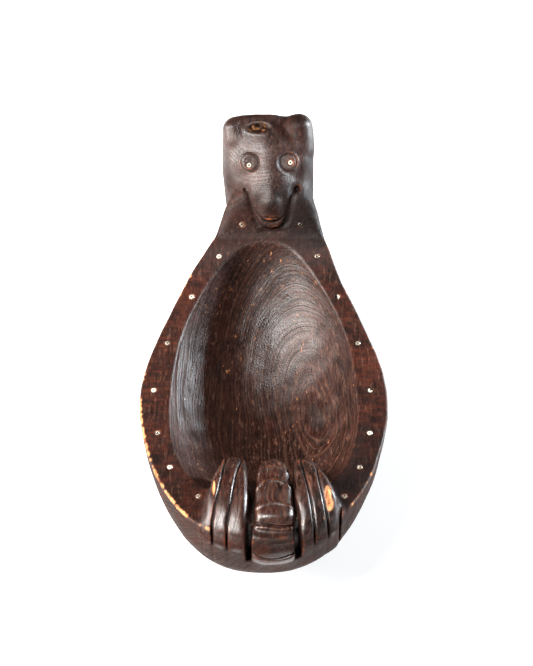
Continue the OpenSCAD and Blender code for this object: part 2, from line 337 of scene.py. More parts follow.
def arch(ends, y, z):
    """Distance to the outside of an arch over the rim, and the angle round it."""
    mid, half = (ends[0] + ends[1]) / 2, (ends[0] - ends[1]) / 2
    a = (y - mid) / half
    up = (z - GRIP_Z0) / GRIP_TOP
    b = np.maximum(up, 0)
    d = ((np.abs(a) ** GRIP_POWER + b ** GRIP_POWER + 1e-9) ** (1 / GRIP_POWER) - 1) * 28
    d = d + np.where(a > 0, 13, 0) * np.clip(-up, 0, 1) ** 2
    turn = np.degrees(np.arctan2(b ** 1.25, np.sign(a) * np.abs(a) ** 1.25))
    return d, turn


def paw(x, y, z, wall, p):
    # on the outside the arch follows the wall of the vessel and sinks into it
    sunk = 6.5 * (1 - smooth(56, 80, z))
    round_y = y + (HULL_Y - HULL_A - wall - sunk - y) * (1 - smooth(-136, -104, y))
    d, _ = arch(p["ends"], round_y, z)
    mid, half = along(p, "x", y), along(p, "half", y)
    lines = [np.interp(y, CUT_Y, (c[1], c[0])) for c in p["cuts"]]
    edges = [mid - half - 0.6] + lines + [mid + half + 0.6]
    crown = 0
    for a, b in zip(edges[:-1], edges[1:]):
        v = (x - (a + b) / 2) / ((b - a) / 2)
        crown = np.where(np.abs(v) < 1, v ** 4, crown)
    f = meet(d + crown, np.abs(x - mid) - half, 5.5)
    f = meet(f, 42.0 - z, 5)
    deep = 2.1 * smooth(69, 75, z)
    cut = FAR
    for k, c in enumerate(lines):
        wander = 0.35 * np.sin(y * 0.16 + p["seed"] + 2 * k)
        line = np.abs(x - c + wander) - 0.5
        cut = join(cut, meet(meet(line, -(d + deep), 1.6), 70 - z, 1), 0.5)
    if p["short"]:
        line = np.abs(x - p["short"] - 0.1 * (y + 137)) - 0.45
        cut = join(cut, meet(meet(line, -(d + 6.0), 1.0), np.abs(y + 134) - 7.5, 1), 0.5)
    return f, cut


def tail(x, y, z, wall):
    d, turn = arch(TAIL["ends"], y, z)
    mid, half = along(TAIL, "x", y), along(TAIL, "half", y)
    u = (x - mid) / half
    form = d + 1.6 * np.abs(u) ** 3
    for a in TAIL_STEPS:
        bow = a + 7 * u * u - 4
        form = form - bell(turn - bow, 2.0)
        form = form + 0.7 * bell(turn - bow + 8, 6.0)
    form = form - 3.0 * bell(turn - TAIL_DOME, 8.5) * (1 - 0.85 * u * u)
    for k, a in enumerate(TAIL_GROOVES):
        bow = a + 5 * (1 - u * u) * (0.4 + 0.35 * k) - 2 + 1.2 * np.sin(3 * u + k)
        form = form + 2.0 * bell(turn - bow, 1.3)
        form = form - 0.35 * bell(turn - bow - 4, 2.5)
    form = form + 9 * (1 - smooth(46, 66, z)) * (turn > 90)
    f = meet(form, np.abs(x - mid) - half, 4.5)
    f = meet(f, TAIL_FOOT - z, 3)
    leg = meet(wall - 3.2 * smooth(40, 64, z) + 2.0 * np.abs(u) ** 3 * smooth(40, 60, z),
               np.abs(x - mid) - half, 3)
    leg = meet(leg, np.maximum(z - 66, y + 125), 4)
    return join(f, leg, 4)


def channels(x, y, z, wall):
    d, _ = arch(TAIL["ends"], y, z)
    deep = -(np.minimum(d, wall + 1) + 11.5)
    out = FAR
    for places, half in CHANNELS:
        mid = np.interp(y, CHANNEL_Y, places).astype(REAL)
        wide = half + 0.25 * np.sin(0.2 * y)
        out = join(out, meet(meet(np.abs(x - mid) - wide, deep, 2), 56.5 - z, 3), 0.5)
    return out


# ---------------------------------------------------------------- the whole carving

def rim_point(side, angle):
    """A point of the rim's outer edge, at an angle from the tail end."""
    c = -math.cos(math.radians(angle))
    y = HULL_Y + HULL_A * c
    half = float(hull_half(np.float64(c))) * math.sin(math.radians(angle)) ** 0.8
    return (side * half + float(spine_x(np.float64(y))), y, float(rim_height(np.float64(y))))


def rim_chips():
    """Small bites out of the rim's outer edge: centre, radius."""
    r = np.random.default_rng(41)
    found = []
    for side, low, high, n, size in ((-1, 30, 82, 90, 1.15), (-1, 82, 125, 9, 0.9),
                                     (1, 34, 120, 16, 0.9), (-1, 18, 30, 6, 0.9)):
        for _ in range(n):
            x, y, z = rim_point(side, r.uniform(low, high))
            found.append((x + side * r.uniform(0.1, 0.6), y, z + r.uniform(0.1, 0.5),
                          size * r.uniform(0.6, 1.4)))
    return found


CHIPS = rim_chips()
# bites out of the paws, the ears and the nose: centre, radii along x, y, z
FLAKES = ((38.6, -125.5, 89.2, 2.2, 7.5, 2.8), (40.0, -133.5, 87.4, 3.5, 7.5, 3.4),
          (36.4, -140.0, 84.0, 1.2, 3.4, 1.6), (-30.0, -117.0, 89.4, 0.9, 8.0, 2.0),
          (-24.8, 146.5, 132.6, 3.0, 2.6, 2.6),
          (-28.6, 149.5, 128.8, 2.2, 2.6, 3.0), (34.0, 146.5, 129.6, 1.5, 3.4, 2.6))


# radius and height of a bead, how far it stands out, and the play round it
BEAD_R, BEAD_H, BEAD_PROUD, BEAD_PLAY = 1.6, 2.2, 0.25, 0.12


def sockets():
    """Every bead's name, the middle of its socket's mouth and the way the bead faces."""
    found = []
    for name in sorted(frame["nodes"]):
        if "bead" not in name:
            continue
        low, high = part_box(name)
        middle = (low + high) / 2 / MM
        if name.startswith("eye"):
            facing = Vector((0, -FACE_SIN, FACE_COS))
        else:
            y = np.float64(middle.y)
            slope = math.atan(float(rim_height(y + 1) - rim_height(y - 1)) / 2)
            facing = Vector((0, -math.sin(slope), math.cos(slope)))
        found.append((name, middle - facing * (BEAD_PROUD - BEAD_H / 2), facing))
    return found


SOCKETS = sockets()


def bowl(wall, x, y, z):
    """The vessel below its rim, whose outer edge is round under the paws."""
    mid = np.where(x < 6, -22.0, 33.0).astype(REAL)
    under = (1 - smooth(10, 21, np.abs(x - mid))) * (1 - smooth(-132, -116, y))
    return meet(meet(wall, z - rim_height(y), 1.6 + 12 * under), -z, 1.2)


def carving(x, y, z):
    """The field of the whole piece of wood: below zero inside."""
    wall = as_distance(hull_share, x, y, z)
    wall = wall + 0.16 * wavy(x, y, z, HAND)
    f = wall
    near = y > 60
    if near.any():
        part, xh, s, h = head(x[near], y[near], z[near])
        f = f.copy()
        soft = smooth(82, 103, y[near])
        vessel = meet(wall[near] - 2.4 * soft, z[near] - rim_height(y[near]), 1.6 + 13 * soft)
        vessel = meet(vessel, -z[near], 1.2)
        f[near] = join(vessel, part, 8)
        low = ~near
        f[low] = bowl(wall[low], x[low], y[low], z[low])
    else:
        f = bowl(wall, x, y, z)
    lumps = 0.1 + 0.25 * smooth(4, 22, rim_height(y) - z)
    hollow = as_distance(hollow_share, x, y, z) + lumps * wavy(x, y, z, HAND)
    f = meet(f, -hollow, 1.5)
    if near.any():
        xn, yn, zn = x[near], y[near], z[near]
        g = snout(f[near], xh, s, h)
        f[near] = face_marks(g, xh, s, h)
    near = (y < -72) & (z > 36)
    if near.any():
        xn, yn, zn, g = x[near], y[near], z[near], f[near]
        wn, cuts = wall[near], FAR
        for p in PAWS:
            form, cut = paw(xn, yn, zn, wn, p)
            g = join(g, form, 5.5)
            cuts = join(cuts, cut, 0.5)
        g = meet(g, -cuts, 1.1)
        g = join(g, tail(xn, yn, zn, wn), 1.6)
        g = meet(g, -channels(xn, yn, zn, wn), 1.4)
        f[near] = g
    near = (z > 55) & (np.abs(x) > 20)
    if near.any():
        xn, yn, zn, g = x[near], y[near], z[near], f[near]
        for cx, cy, cz, r in CHIPS:
            close = (np.abs(yn - cy) < r + 2) & (np.abs(xn - cx) < r + 2)
            if close.any():
                gap = np.sqrt((xn[close] - cx) ** 2 + (yn[close] - cy) ** 2
                              + (zn[close] - cz) ** 2) - r
                g[close] = meet(g[close], -gap, 0.5)
        for cx, cy, cz, rx, ry, rz in FLAKES:
            close = (np.abs(yn - cy) < ry + 3) & (np.abs(xn - cx) < rx + 3)
            if close.any():
                gap = (np.sqrt(((xn[close] - cx) / rx) ** 2 + ((yn[close] - cy) / ry) ** 2
                               + ((zn[close] - cz) / rz) ** 2) - 1) * min(rx, ry, rz)
                g[close] = meet(g[close], -gap, 0.4)
        f[near] = g
    for _, at, facing in SOCKETS:
        close = (np.abs(x - at.x) < 5) & (np.abs(y - at.y) < 5) & (np.abs(z - at.z) < 6)
        if close.any():
            dx, dy, dz = x[close] - at.x, y[close] - at.y, z[close] - at.z
            up = dx * facing.x + dy * facing.y + dz * facing.z
            r = np.sqrt(np.maximum(dx * dx + dy * dy + dz * dz - up * up, 1e-6))
            hole = meet(r - BEAD_R - BEAD_PLAY - 0.25 * smooth(-1.0, 0.6, up),
                        -(up - BEAD_PROUD + BEAD_H), 0.2)
            f[close] = meet(f[close], -hole, 0.25)
    return f


# ---------------------------------------------------------------- growth rings

PITH = np.array((50.0, -27.0, 12.5))
PITH_LINE = np.array((-0.06, 0.995, -0.076))
RING_BEND = waves(7, 40, 110, 21)


def ring_radius(x, y, z):
    """Distance from the tree's pith, bent a little and drawn round the knot."""
    dx, dy, dz = x - PITH[0], y - PITH[1], z - PITH[2]
    t = dx * PITH_LINE[0] + dy * PITH_LINE[1] + dz * PITH_LINE[2]
    r = np.sqrt(np.maximum(dx * dx + dy * dy + dz * dz - t * t, 1))
    r = r + 1.3 * wavy(x, y, z, RING_BEND)
    knot = np.sqrt((x + 3) ** 2 + (y - 142) ** 2 + (z - 129) ** 2)
    share = np.exp(-(knot / 34) ** 4)
    return (r + 0.8 * np.sin(r * 0.83)) * (1 - share) + share * (
        1.1 * knot + 0.8 * np.sin(knot * 0.9) + 1.2 * wavy(x, y, z, HAND))


RING_WIDTH = 2.7


def ring_wave(r):
    """One growth ring: slow rise to the late wood, then a quick drop."""
    t = (r / RING_WIDTH) % 1.0
    return smooth(0, 0.75, t) * (1 - smooth(0.82, 1.0, t))


# ---------------------------------------------------------------- meshing

def evaluate(field, p, step=60000):
    out = np.empty(len(p), REAL)

    def piece(i):
        q = p[i:i + step].astype(REAL)
        out[i:i + step] = field(q[:, 0].copy(), q[:, 1].copy(), q[:, 2].copy())

    with ThreadPoolExecutor(4) as pool:
        list(pool.map(piece, range(0, len(p), step)))
    return out


def surface_net(field, low, high, pitch, block):
    """Quads through the cells that the surface crosses."""
    cells = [int(math.ceil((high[i] - low[i]) / (pitch * block))) * block for i in range(3)]
    coarse = [np.arange(0, n + 1, block) for n in cells]
    grid = np.stack(np.meshgrid(*coarse, indexing="ij"), -1).reshape(-1, 3)
    base = np.array(low)
    wide = evaluate(field, base + grid * pitch).reshape([len(c) for c in coarse])
    reach = pitch * block * 1.35
    close = np.abs(wide) < reach
    touched = np.zeros([len(c) - 1 for c in coarse], bool)
    signs = np.zeros_like(touched, dtype=np.int8)
    for i in (0, 1):
        for j in (0, 1):
            for k in (0, 1):
                part = (slice(i, i + touched.shape[0]), slice(j, j + touched.shape[1]),
                        slice(k, k + touched.shape[2]))
                touched |= close[part]
                signs += (wide[part] < 0).astype(np.int8)
    touched |= (signs > 0) & (signs < 8)
    fine = np.ones([n + 1 for n in cells], REAL)
    inside = signs >= 5
    for a, b, c in np.argwhere(inside):
        fine[a * block:(a + 1) * block + 1, b * block:(b + 1) * block + 1,
             c * block:(c + 1) * block + 1] = -1
    want = np.zeros(fine.shape, bool)
    for a, b, c in np.argwhere(touched):
        want[a * block:(a + 1) * block + 1, b * block:(b + 1) * block + 1,
             c * block:(c + 1) * block + 1] = True
    at = np.argwhere(want)
    fine[want] = evaluate(field, base + at * pitch)
    below = fine < 0
    count = np.zeros(cells, np.int8)
    for i in (0, 1):
        for j in (0, 1):
            for k in (0, 1):
                count += below[i:i + cells[0], j:j + cells[1], k:k + cells[2]]
    crossed = (count > 0) & (count < 8)
    number = np.full(cells, -1, np.int64)
    cell = np.argwhere(crossed)
    number[crossed] = np.arange(len(cell))
    total = np.zeros((len(cell), 3))
    hits = np.zeros(len(cell))
    for axis in range(3):
        others = [a for a in range(3) if a != axis]
        for i in (0, 1):
            for j in (0, 1):
                start = cell.copy()
                start[:, others[0]] += i
                start[:, others[1]] += j
                end = start.copy()
                end[:, axis] += 1
                fa, fb = fine[tuple(start.T)], fine[tuple(end.T)]
                hit = (fa < 0) != (fb < 0)
                share = np.where(hit, fa / np.where(hit, fa - fb, 1), 0)
                point = start.astype(float)
                point[:, axis] += share
                total += np.where(hit[:, None], point, 0)
                hits += hit
    verts = base + total / hits[:, None] * pitch
    quads = []
    for axis in range(3):
        u, v = [(1, 2), (2, 0), (0, 1)][axis]
        a = [slice(1, -1)] * 3
        a[axis] = slice(0, cells[axis])
        b = list(a)
        b[axis] = slice(1, cells[axis] + 1)
        fa, fb = below[tuple(a)], below[tuple(b)]
        for flip, where in ((False, fa & ~fb), (True, ~fa & fb)):
            e = np.argwhere(where)
            for k in range(3):
                if k != axis:
                    e[:, k] += 1
            corner = []
            for du, dv in ((1, 1), (0, 1), (0, 0), (1, 0)):
                c = e.copy()
                c[:, u] -= du
                c[:, v] -= dv
                corner.append(number[tuple(c.T)])
            q = np.stack(corner, 1)
            quads.append(q[:, ::-1] if flip else q)
    return verts, np.concatenate(quads)


def gradient(field, p, f, d=0.15):
    g = np.empty((len(p), 3))
    for k in range(3):
        step = np.zeros(3)
        step[k] = d
        g[:, k] = (evaluate(field, p + step) - f) / d
    return g


def settle(field, p, rounds=2, reach=0.6):
    """Move points onto the surface of a field; returns them and their normals."""
    for _ in range(rounds):
        f = evaluate(field, p)
        g = gradient(field, p, f)
        size = np.maximum((g * g).sum(1), 0.05)
        move = -g * (f / size)[:, None]
        far = np.linalg.norm(move, axis=1)
        p = p + move * np.minimum(1, reach / np.maximum(far, 1e-9))[:, None]
    return p, g / np.maximum(np.linalg.norm(g, axis=1), 1e-9)[:, None]


def split(verts, faces, chosen):
    """Cut the chosen faces in four; their neighbours take the new edge points."""
    cut, new = {}, []

    def middle(a, b):
        key = (a, b) if a < b else (b, a)
        if key not in cut:
            cut[key] = len(verts) + len(new)
            new.append((verts[a] + verts[b]) / 2)
        return cut[key]

    out = []
    rest = []
    for f, pick in zip(faces, chosen):
        if pick:
            n = len(f)
            mids = [middle(f[i], f[(i + 1) % n]) for i in range(n)]
            hub = len(verts) + len(new)
            new.append(sum(verts[i] for i in f) / n)
            out += [(f[i], mids[i], hub, mids[i - 1]) for i in range(n)]
        else:
            rest.append(f)
    for f in rest:
        g = []
        for i, a in enumerate(f):
            b = f[(i + 1) % len(f)]
            g.append(a)
            key = (a, b) if a < b else (b, a)
            if key in cut:
                g.append(cut[key])
        out.append(tuple(g))
    return np.concatenate([verts, np.array(new)]), out


PITCH = 0.66


def relief(x, y, z):
    """The carving with the wood's own relief on it."""
    f = carving(x, y, z)
    r = ring_radius(x, y, z)
    hollow = as_distance(hollow_share, x, y, z)
    inside = 1 - smooth(-1.7, 2.0, hollow)
    worn = 0.5 + 0.5 * smooth(-0.8, 0.9, wavy(x, y, z, HAND))
    slow = 0.7 + 0.3 * np.sin(r * 0.78)
    amount = 0.02 + (0.21 + 0.31 * smooth(12, 42, -x)) * inside * worn * slow
    return f - amount * (ring_wave(r) - 0.5) - 0.03 * wavy(x, y, z, CHISEL)


def carve():
    low, high = (-81.0, -160.0, -3.0), (81.0, 160.0, 135.0)
    verts, quads = surface_net(carving, low, high, PITCH, 6)
    verts, normal = settle(carving, verts, 1)
    faces = [tuple(q) for q in quads.tolist()]
    spots = [(np.array(at), 3.4) for _, at, _ in SOCKETS]
    for eye in EYE_RINGS:
        across, up = eye["at"]
        place = (HEAD_X + across, FACE_Y + up * FACE_COS, FACE_Z + up * FACE_SIN)
        spots.append((np.array(place), 8.5))
    spots.append((np.array((HEAD_X, 95.0, 95.0)), 13.0))
    chosen = np.zeros(len(faces), bool)
    middle = verts[quads].mean(1)
    for at, r in spots:
        chosen |= np.linalg.norm(middle - at, axis=1) < r
    verts, faces = split(verts, faces, chosen)
    verts, normal = settle(relief, verts, 2, 0.25)
    verts = np.clip(verts, np.array(cad_low) / MM + 0.01, np.array(cad_high) / MM - 0.01)
    return verts, faces, normal


def mesh_of(name, verts, faces, smooth_faces=True):
    me = bpy.data.meshes.new(name)
    lens = np.fromiter((len(f) for f in faces), np.int32, len(faces))
    loops = np.fromiter((i for f in faces for i in f), np.int32, int(lens.sum()))
    me.vertices.add(len(verts))
    me.vertices.foreach_set("co", np.asarray(verts, np.float32).ravel())
    me.loops.add(len(loops))
    me.loops.foreach_set("vertex_index", loops)
    me.polygons.add(len(faces))
    me.polygons.foreach_set("loop_start", np.concatenate([[0], np.cumsum(lens)[:-1]]).astype(np.int32))
    me.update(calc_edges=True)
    me.validate()
    if smooth_faces:
        me.polygons.foreach_set("use_smooth", np.ones(len(me.polygons), bool))
    return me


def attribute(me, name, values):
    a = me.attributes.new(name, "FLOAT", "POINT")
    a.data.foreach_set("value", np.asarray(values, np.float32))


def around(me, n, values, rounds):
    """Average a value over each vertex's neighbours, some rounds."""
    e = np.empty(len(me.edges) * 2, np.int32)
    me.edges.foreach_get("vertices", e)
    a, b = e[::2], e[1::2]
    deg = np.bincount(a, minlength=n) + np.bincount(b, minlength=n)
    for _ in range(rounds):
        s = np.bincount(a, values[b], n) + np.bincount(b, values[a], n)
        values = 0.4 * values + 0.6 * s / np.maximum(deg, 1)
    return values


def bending(me, verts, normal):
    """Mean curvature per millimetre: positive on ridges, negative in creases."""
    e = np.empty(len(me.edges) * 2, np.int32)
    me.edges.foreach_get("vertices", e)
    a, b = e[::2], e[1::2]
    d = verts[b] - verts[a]
    k = ((normal[b] - normal[a]) * d).sum(1) / np.maximum((d * d).sum(1), 0.01)
    n = len(verts)
    deg = np.bincount(a, minlength=n) + np.bincount(b, minlength=n)
    return (np.bincount(a, k, n) + np.bincount(b, k, n)) / np.maximum(deg, 1)


# ---------------------------------------------------------------- materials

def new_material(name):
    mat = bpy.data.materials.new(name)
    mat.use_nodes = True
    return mat, mat.node_tree.nodes, mat.node_tree.links, mat.node_tree.nodes["Principled BSDF"]


def srgb(r, g, b):
    def lin(v):
        v /= 255
        return v / 12.92 if v <= 0.04045 else ((v + 0.055) / 1.055) ** 2.4
    return (lin(r), lin(g), lin(b), 1)


class Graph:
    """Short calls for the nodes that the materials use."""

    def __init__(self, nodes, links):
        self.nodes, self.links = nodes, links

    def put(self, kind, **sockets):
        n = self.nodes.new(kind)
        for k, v in sockets.items():
            setattr(n, k, v)
        return n

    def feed(self, socket, value):
        if isinstance(value, bpy.types.NodeSocket):
            self.links.new(value, socket)
        else:
            socket.default_value = value

    def math(self, op, a, b=0.5, clamp=False):
        n = self.put("ShaderNodeMath", operation=op, use_clamp=clamp)
        self.feed(n.inputs[0], a)
        self.feed(n.inputs[1], b)
        return n.outputs[0]

    def mix(self, share, a, b, blend="MIX"):
        n = self.put("ShaderNodeMix", data_type="RGBA", blend_type=blend)
        self.feed(n.inputs[0], share)
        self.feed(n.inputs[6], a)
        self.feed(n.inputs[7], b)
        return n.outputs[2]

    def noise(self, at, scale, detail=3.0, rough=0.55):
        n = self.put("ShaderNodeTexNoise")
        self.feed(n.inputs["Vector"], at)
        n.inputs["Scale"].default_value = scale
        n.inputs["Detail"].default_value = detail
        n.inputs["Roughness"].default_value = rough
        return n.outputs["Fac"]

    def spread(self, value, low, high, to_low=0.0, to_high=1.0):
        n = self.put("ShaderNodeMapRange", clamp=True)
        self.feed(n.inputs[0], value)
        for i, v in enumerate((low, high, to_low, to_high)):
            n.inputs[i + 1].default_value = v
        return n.outputs[0]

    def place(self, scale=(1, 1, 1), turn=(0, 0, 0)):
        c = self.put("ShaderNodeTexCoord")
        m = self.put("ShaderNodeMapping")
        m.inputs["Scale"].default_value = scale
        m.inputs["Rotation"].default_value = turn
        self.links.new(c.outputs["Object"], m.inputs["Vector"])
        return m.outputs[0]

    def own(self, name):
        return self.put("ShaderNodeAttribute", attribute_name=name).outputs["Fac"]


# colours of the wood; of the two near-black ones, one paints shade into creases and the other paints
# shade onto the head's right side and crown top and darkens the rim toward the tail, the throat and the
# knot
TONE = dict(deep=srgb(21, 9, 7), brown=srgb(54, 27, 19), shade=srgb(15, 7, 6),
            red=srgb(72, 29, 16), fibre=srgb(82, 51, 39), early=srgb(108, 77, 63),
            late=srgb(11, 5, 5), streak=srgb(15, 6, 5), glow=srgb(128, 60, 32),
            dust=srgb(150, 112, 92), pore=srgb(9, 4, 4), darkening_and_painted_shade=srgb(12, 6, 5),
            painted_crease_shade=srgb(8, 4, 3), rubbed=srgb(168, 92, 48), raw_dark=srgb(166, 86, 38),
            raw_light=srgb(236, 176, 118))


def wood_material():
    mat, nodes, links, shader = new_material("carved_wood")
    g = Graph(nodes, links)
    even = g.place()
    grain = g.place((1.0, 0.09, 1.0), (0.12, 0.0, 0.03))
    fine = g.place((1.0, 0.2, 1.0), (0.12, 0.0, -0.05))
    across = g.place((0.22, 1.0, 0.6), (0.0, 0.0, 0.55))
    phase, edge, painted_crease_shade = g.own("ring"), g.own("edge"), g.own("painted_crease_shade")
    bare, flat, inside = g.own("bare"), g.own("rim"), g.own("inside")
    hull, shine = g.own("hull"), g.own("shine")
    broad = g.noise(even, 26, 4, 0.6)
    large = g.noise(even, 11, 2)
    patch = g.noise(even, 80, 5, 0.65)
    fibre = g.noise(grain, 700, 5, 0.7)
    pores = g.noise(fine, 900, 3, 0.6)
    specks = g.noise(fine, 520, 4, 0.7)
    streak = g.noise(across, 420, 5, 0.7)
    # growth rings: a slow rise to the dark late wood, then a quick drop
    jitter = g.math("MULTIPLY", g.noise(grain, 300, 2), 0.14)
    phase = g.math("ADD", phase, jitter)
    turn = g.math("FRACT", phase)
    late = g.math("MULTIPLY", g.spread(turn, 0.55, 0.86), g.spread(turn, 1.0, 0.93))
    ridge = g.math("MULTIPLY", g.spread(turn, 0.3, 0.5), g.spread(turn, 0.7, 0.58))
    thin = g.math("FRACT", g.math("MULTIPLY", phase, 3.0))
    lines = g.math("MAXIMUM", late, g.math("MULTIPLY", g.spread(thin, 0.55, 0.9), 0.3))
    slow = g.math("SINE", g.math("MULTIPLY", phase, 1.98))
    lines = g.math("MULTIPLY", lines, g.spread(slow, -1, 1, 0.4, 1.0))
    lines = g.math("MULTIPLY", lines, g.spread(broad, 0.3, 0.65, 0.45, 1.0))
    grown = g.math("MAXIMUM", g.math("MULTIPLY", inside, 0.8), g.math("MULTIPLY", shine, 0.75))
    ridge = g.math("MULTIPLY", ridge, g.math("MULTIPLY", grown, g.spread(broad, 0.35, 0.6, 0.1, 0.5)))
    tone = g.mix(g.spread(broad, 0.3, 0.7), TONE["deep"], TONE["brown"])
    tone = g.mix(g.math("MULTIPLY", g.spread(large, 0.45, 0.6), 0.7), tone, TONE["shade"])
    warm = g.math("MULTIPLY", g.spread(patch, 0.42, 0.66), g.spread(flat, 0, 1, 0.4, 0.75))
    tone = g.mix(warm, tone, TONE["red"])
    tone = g.mix(g.math("MULTIPLY", g.spread(fibre, 0.45, 0.68), 0.4), tone, TONE["fibre"])
    tone = g.mix(ridge, tone, TONE["early"])
    tone = g.mix(g.math("MULTIPLY", lines, g.spread(inside, 0, 1, 0.65, 0.75)), tone, TONE["late"])
    dark = g.math("MULTIPLY", g.spread(streak, 0.48, 0.62), g.spread(flat, 0, 1, 0.1, 0.38))
    tone = g.mix(dark, tone, TONE["streak"])
    glow = g.math("MULTIPLY", g.spread(streak, 0.47, 0.36), g.math("MULTIPLY", flat, 0.14))
    tone = g.mix(glow, tone, TONE["glow"])
    dust = g.math("MULTIPLY", g.spread(specks, 0.56, 0.66), g.spread(inside, 0, 1, 0.16, 0.26))
    tone = g.mix(dust, tone, TONE["dust"])
    tone = g.mix(g.math("MULTIPLY", g.spread(pores, 0.55, 0.64), 0.6), tone, TONE["pore"])
    # painted shade: darkens the head's right-facing side and the top of its crown; the same mask
    # darkens the rim toward the tail and the right, the throat toward the right, and the knot
    tone = g.mix(g.math("MULTIPLY", g.own("darkening_and_painted_shade"), 0.75), tone, TONE["darkening_and_painted_shade"])
    # painted shade: the creases and grooves turn near black
    tone = g.mix(g.math("MULTIPLY", painted_crease_shade, 0.95), tone, TONE["painted_crease_shade"])
    rub = g.math("MULTIPLY", edge, g.spread(patch, 0.44, 0.62), clamp=True)
    tone = g.mix(g.math("MULTIPLY", rub, 0.6), tone, TONE["rubbed"])
    fleck = g.spread(g.noise(g.place((1.0, 0.4, 1.0)), 300, 3, 0.6), 0.675, 0.695)
    fleck = g.math("MULTIPLY", g.math("MULTIPLY", fleck, inside), g.spread(patch, 0.45, 0.55))
    raw = g.mix(g.spread(fibre, 0.35, 0.65), TONE["raw_dark"], TONE["raw_light"])
    tone = g.mix(g.math("MAXIMUM", bare, g.math("MULTIPLY", fleck, 0.8)), tone, raw)
    links.new(tone, shader.inputs["Base Color"])
    rough = g.math("ADD", g.spread(patch, 0.3, 0.7, 0.27, 0.42),
                   g.math("MULTIPLY", g.spread(fibre, 0.35, 0.65), 0.14))
    rough = g.math("ADD", rough, g.math("MULTIPLY", shine, -0.07))
    rough = g.math("ADD", rough, g.math("MULTIPLY", flat, 0.16))
    rough = g.math("ADD", rough, g.math("MULTIPLY", hull, 0.2), clamp=True)
    rough = g.math("ADD", rough, g.math("MULTIPLY", painted_crease_shade, 0.25), clamp=True)
    rough = g.math("ADD", rough, g.math("MULTIPLY", bare, 0.3), clamp=True)
    rough = g.math("ADD", rough, g.math("MULTIPLY", inside, -0.06))
    rough = g.math("ADD", rough, g.math("MULTIPLY", lines, 0.14), clamp=True)
    links.new(rough, shader.inputs["Roughness"])
    polish = g.math("MAXIMUM", g.math("MULTIPLY", flat, 0.9), hull)
    polish = g.math("MAXIMUM", polish, g.math("MULTIPLY", inside, 0.3))
    links.new(g.spread(polish, 0, 1, 0.62, 0.1), shader.inputs["Specular IOR Level"])
    height = g.math("ADD", g.math("MULTIPLY", fibre, 0.5), g.math("MULTIPLY", pores, -0.4))
    height = g.math("MULTIPLY", height, g.spread(shine, 0, 1, 1.0, 0.4))
    height = g.math("ADD", height, g.math("MULTIPLY", lines, g.spread(inside, 0, 1, -0.16, -0.4)))
    height = g.math("ADD", height, g.math("MULTIPLY", streak, g.math("MULTIPLY", flat, 0.45)))
    bump = g.put("ShaderNodeBump")
    bump.inputs["Strength"].default_value = 0.8
    bump.inputs["Distance"].default_value = 0.0006
    links.new(height, bump.inputs["Height"])
    links.new(bump.outputs[0], shader.inputs["Normal"])
    return mat


def bead_material(name, glass, dirt, amount):
    mat, nodes, links, shader = new_material(name)
    g = Graph(nodes, links)
    even = g.place()
    stain = g.spread(g.noise(even, 900, 4, 0.6), 0.62 - 0.3 * amount, 0.75 - 0.25 * amount)
    cloud = g.noise(even, 260, 3)
    tone = g.mix(g.math("MULTIPLY", cloud, 0.5), glass, srgb(250, 246, 234))
    tone = g.mix(g.math("MULTIPLY", stain, amount), tone, dirt)
    links.new(tone, shader.inputs["Base Color"])
    links.new(g.spread(stain, 0, 1, 0.22, 0.6), shader.inputs["Roughness"])
    shader.inputs["Coat Weight"].default_value = 0.4
    shader.inputs["Coat Roughness"].default_value = 0.12
    bump = g.put("ShaderNodeBump")
    bump.inputs["Strength"].default_value = 0.25
    bump.inputs["Distance"].default_value = 0.0002
    links.new(g.noise(even, 1500, 3), bump.inputs["Height"])
    links.new(bump.outputs[0], shader.inputs["Normal"])
    return mat


def floor_material():
    mat, nodes, links, shader = new_material("studio_floor")
    g = Graph(nodes, links)
    even = g.place()
    tone = g.mix(g.noise(even, 3, 2), srgb(214, 213, 212), srgb(218, 217, 216))
    links.new(tone, shader.inputs["Base Color"])
    shader.inputs["Roughness"].default_value = 0.85
    shader.inputs["Specular IOR Level"].default_value = 0.1
    shader.inputs["Emission Color"].default_value = (1, 1, 1, 1)
    shader.inputs["Emission Strength"].default_value = 0.56
    return mat


# ---------------------------------------------------------------- the wood

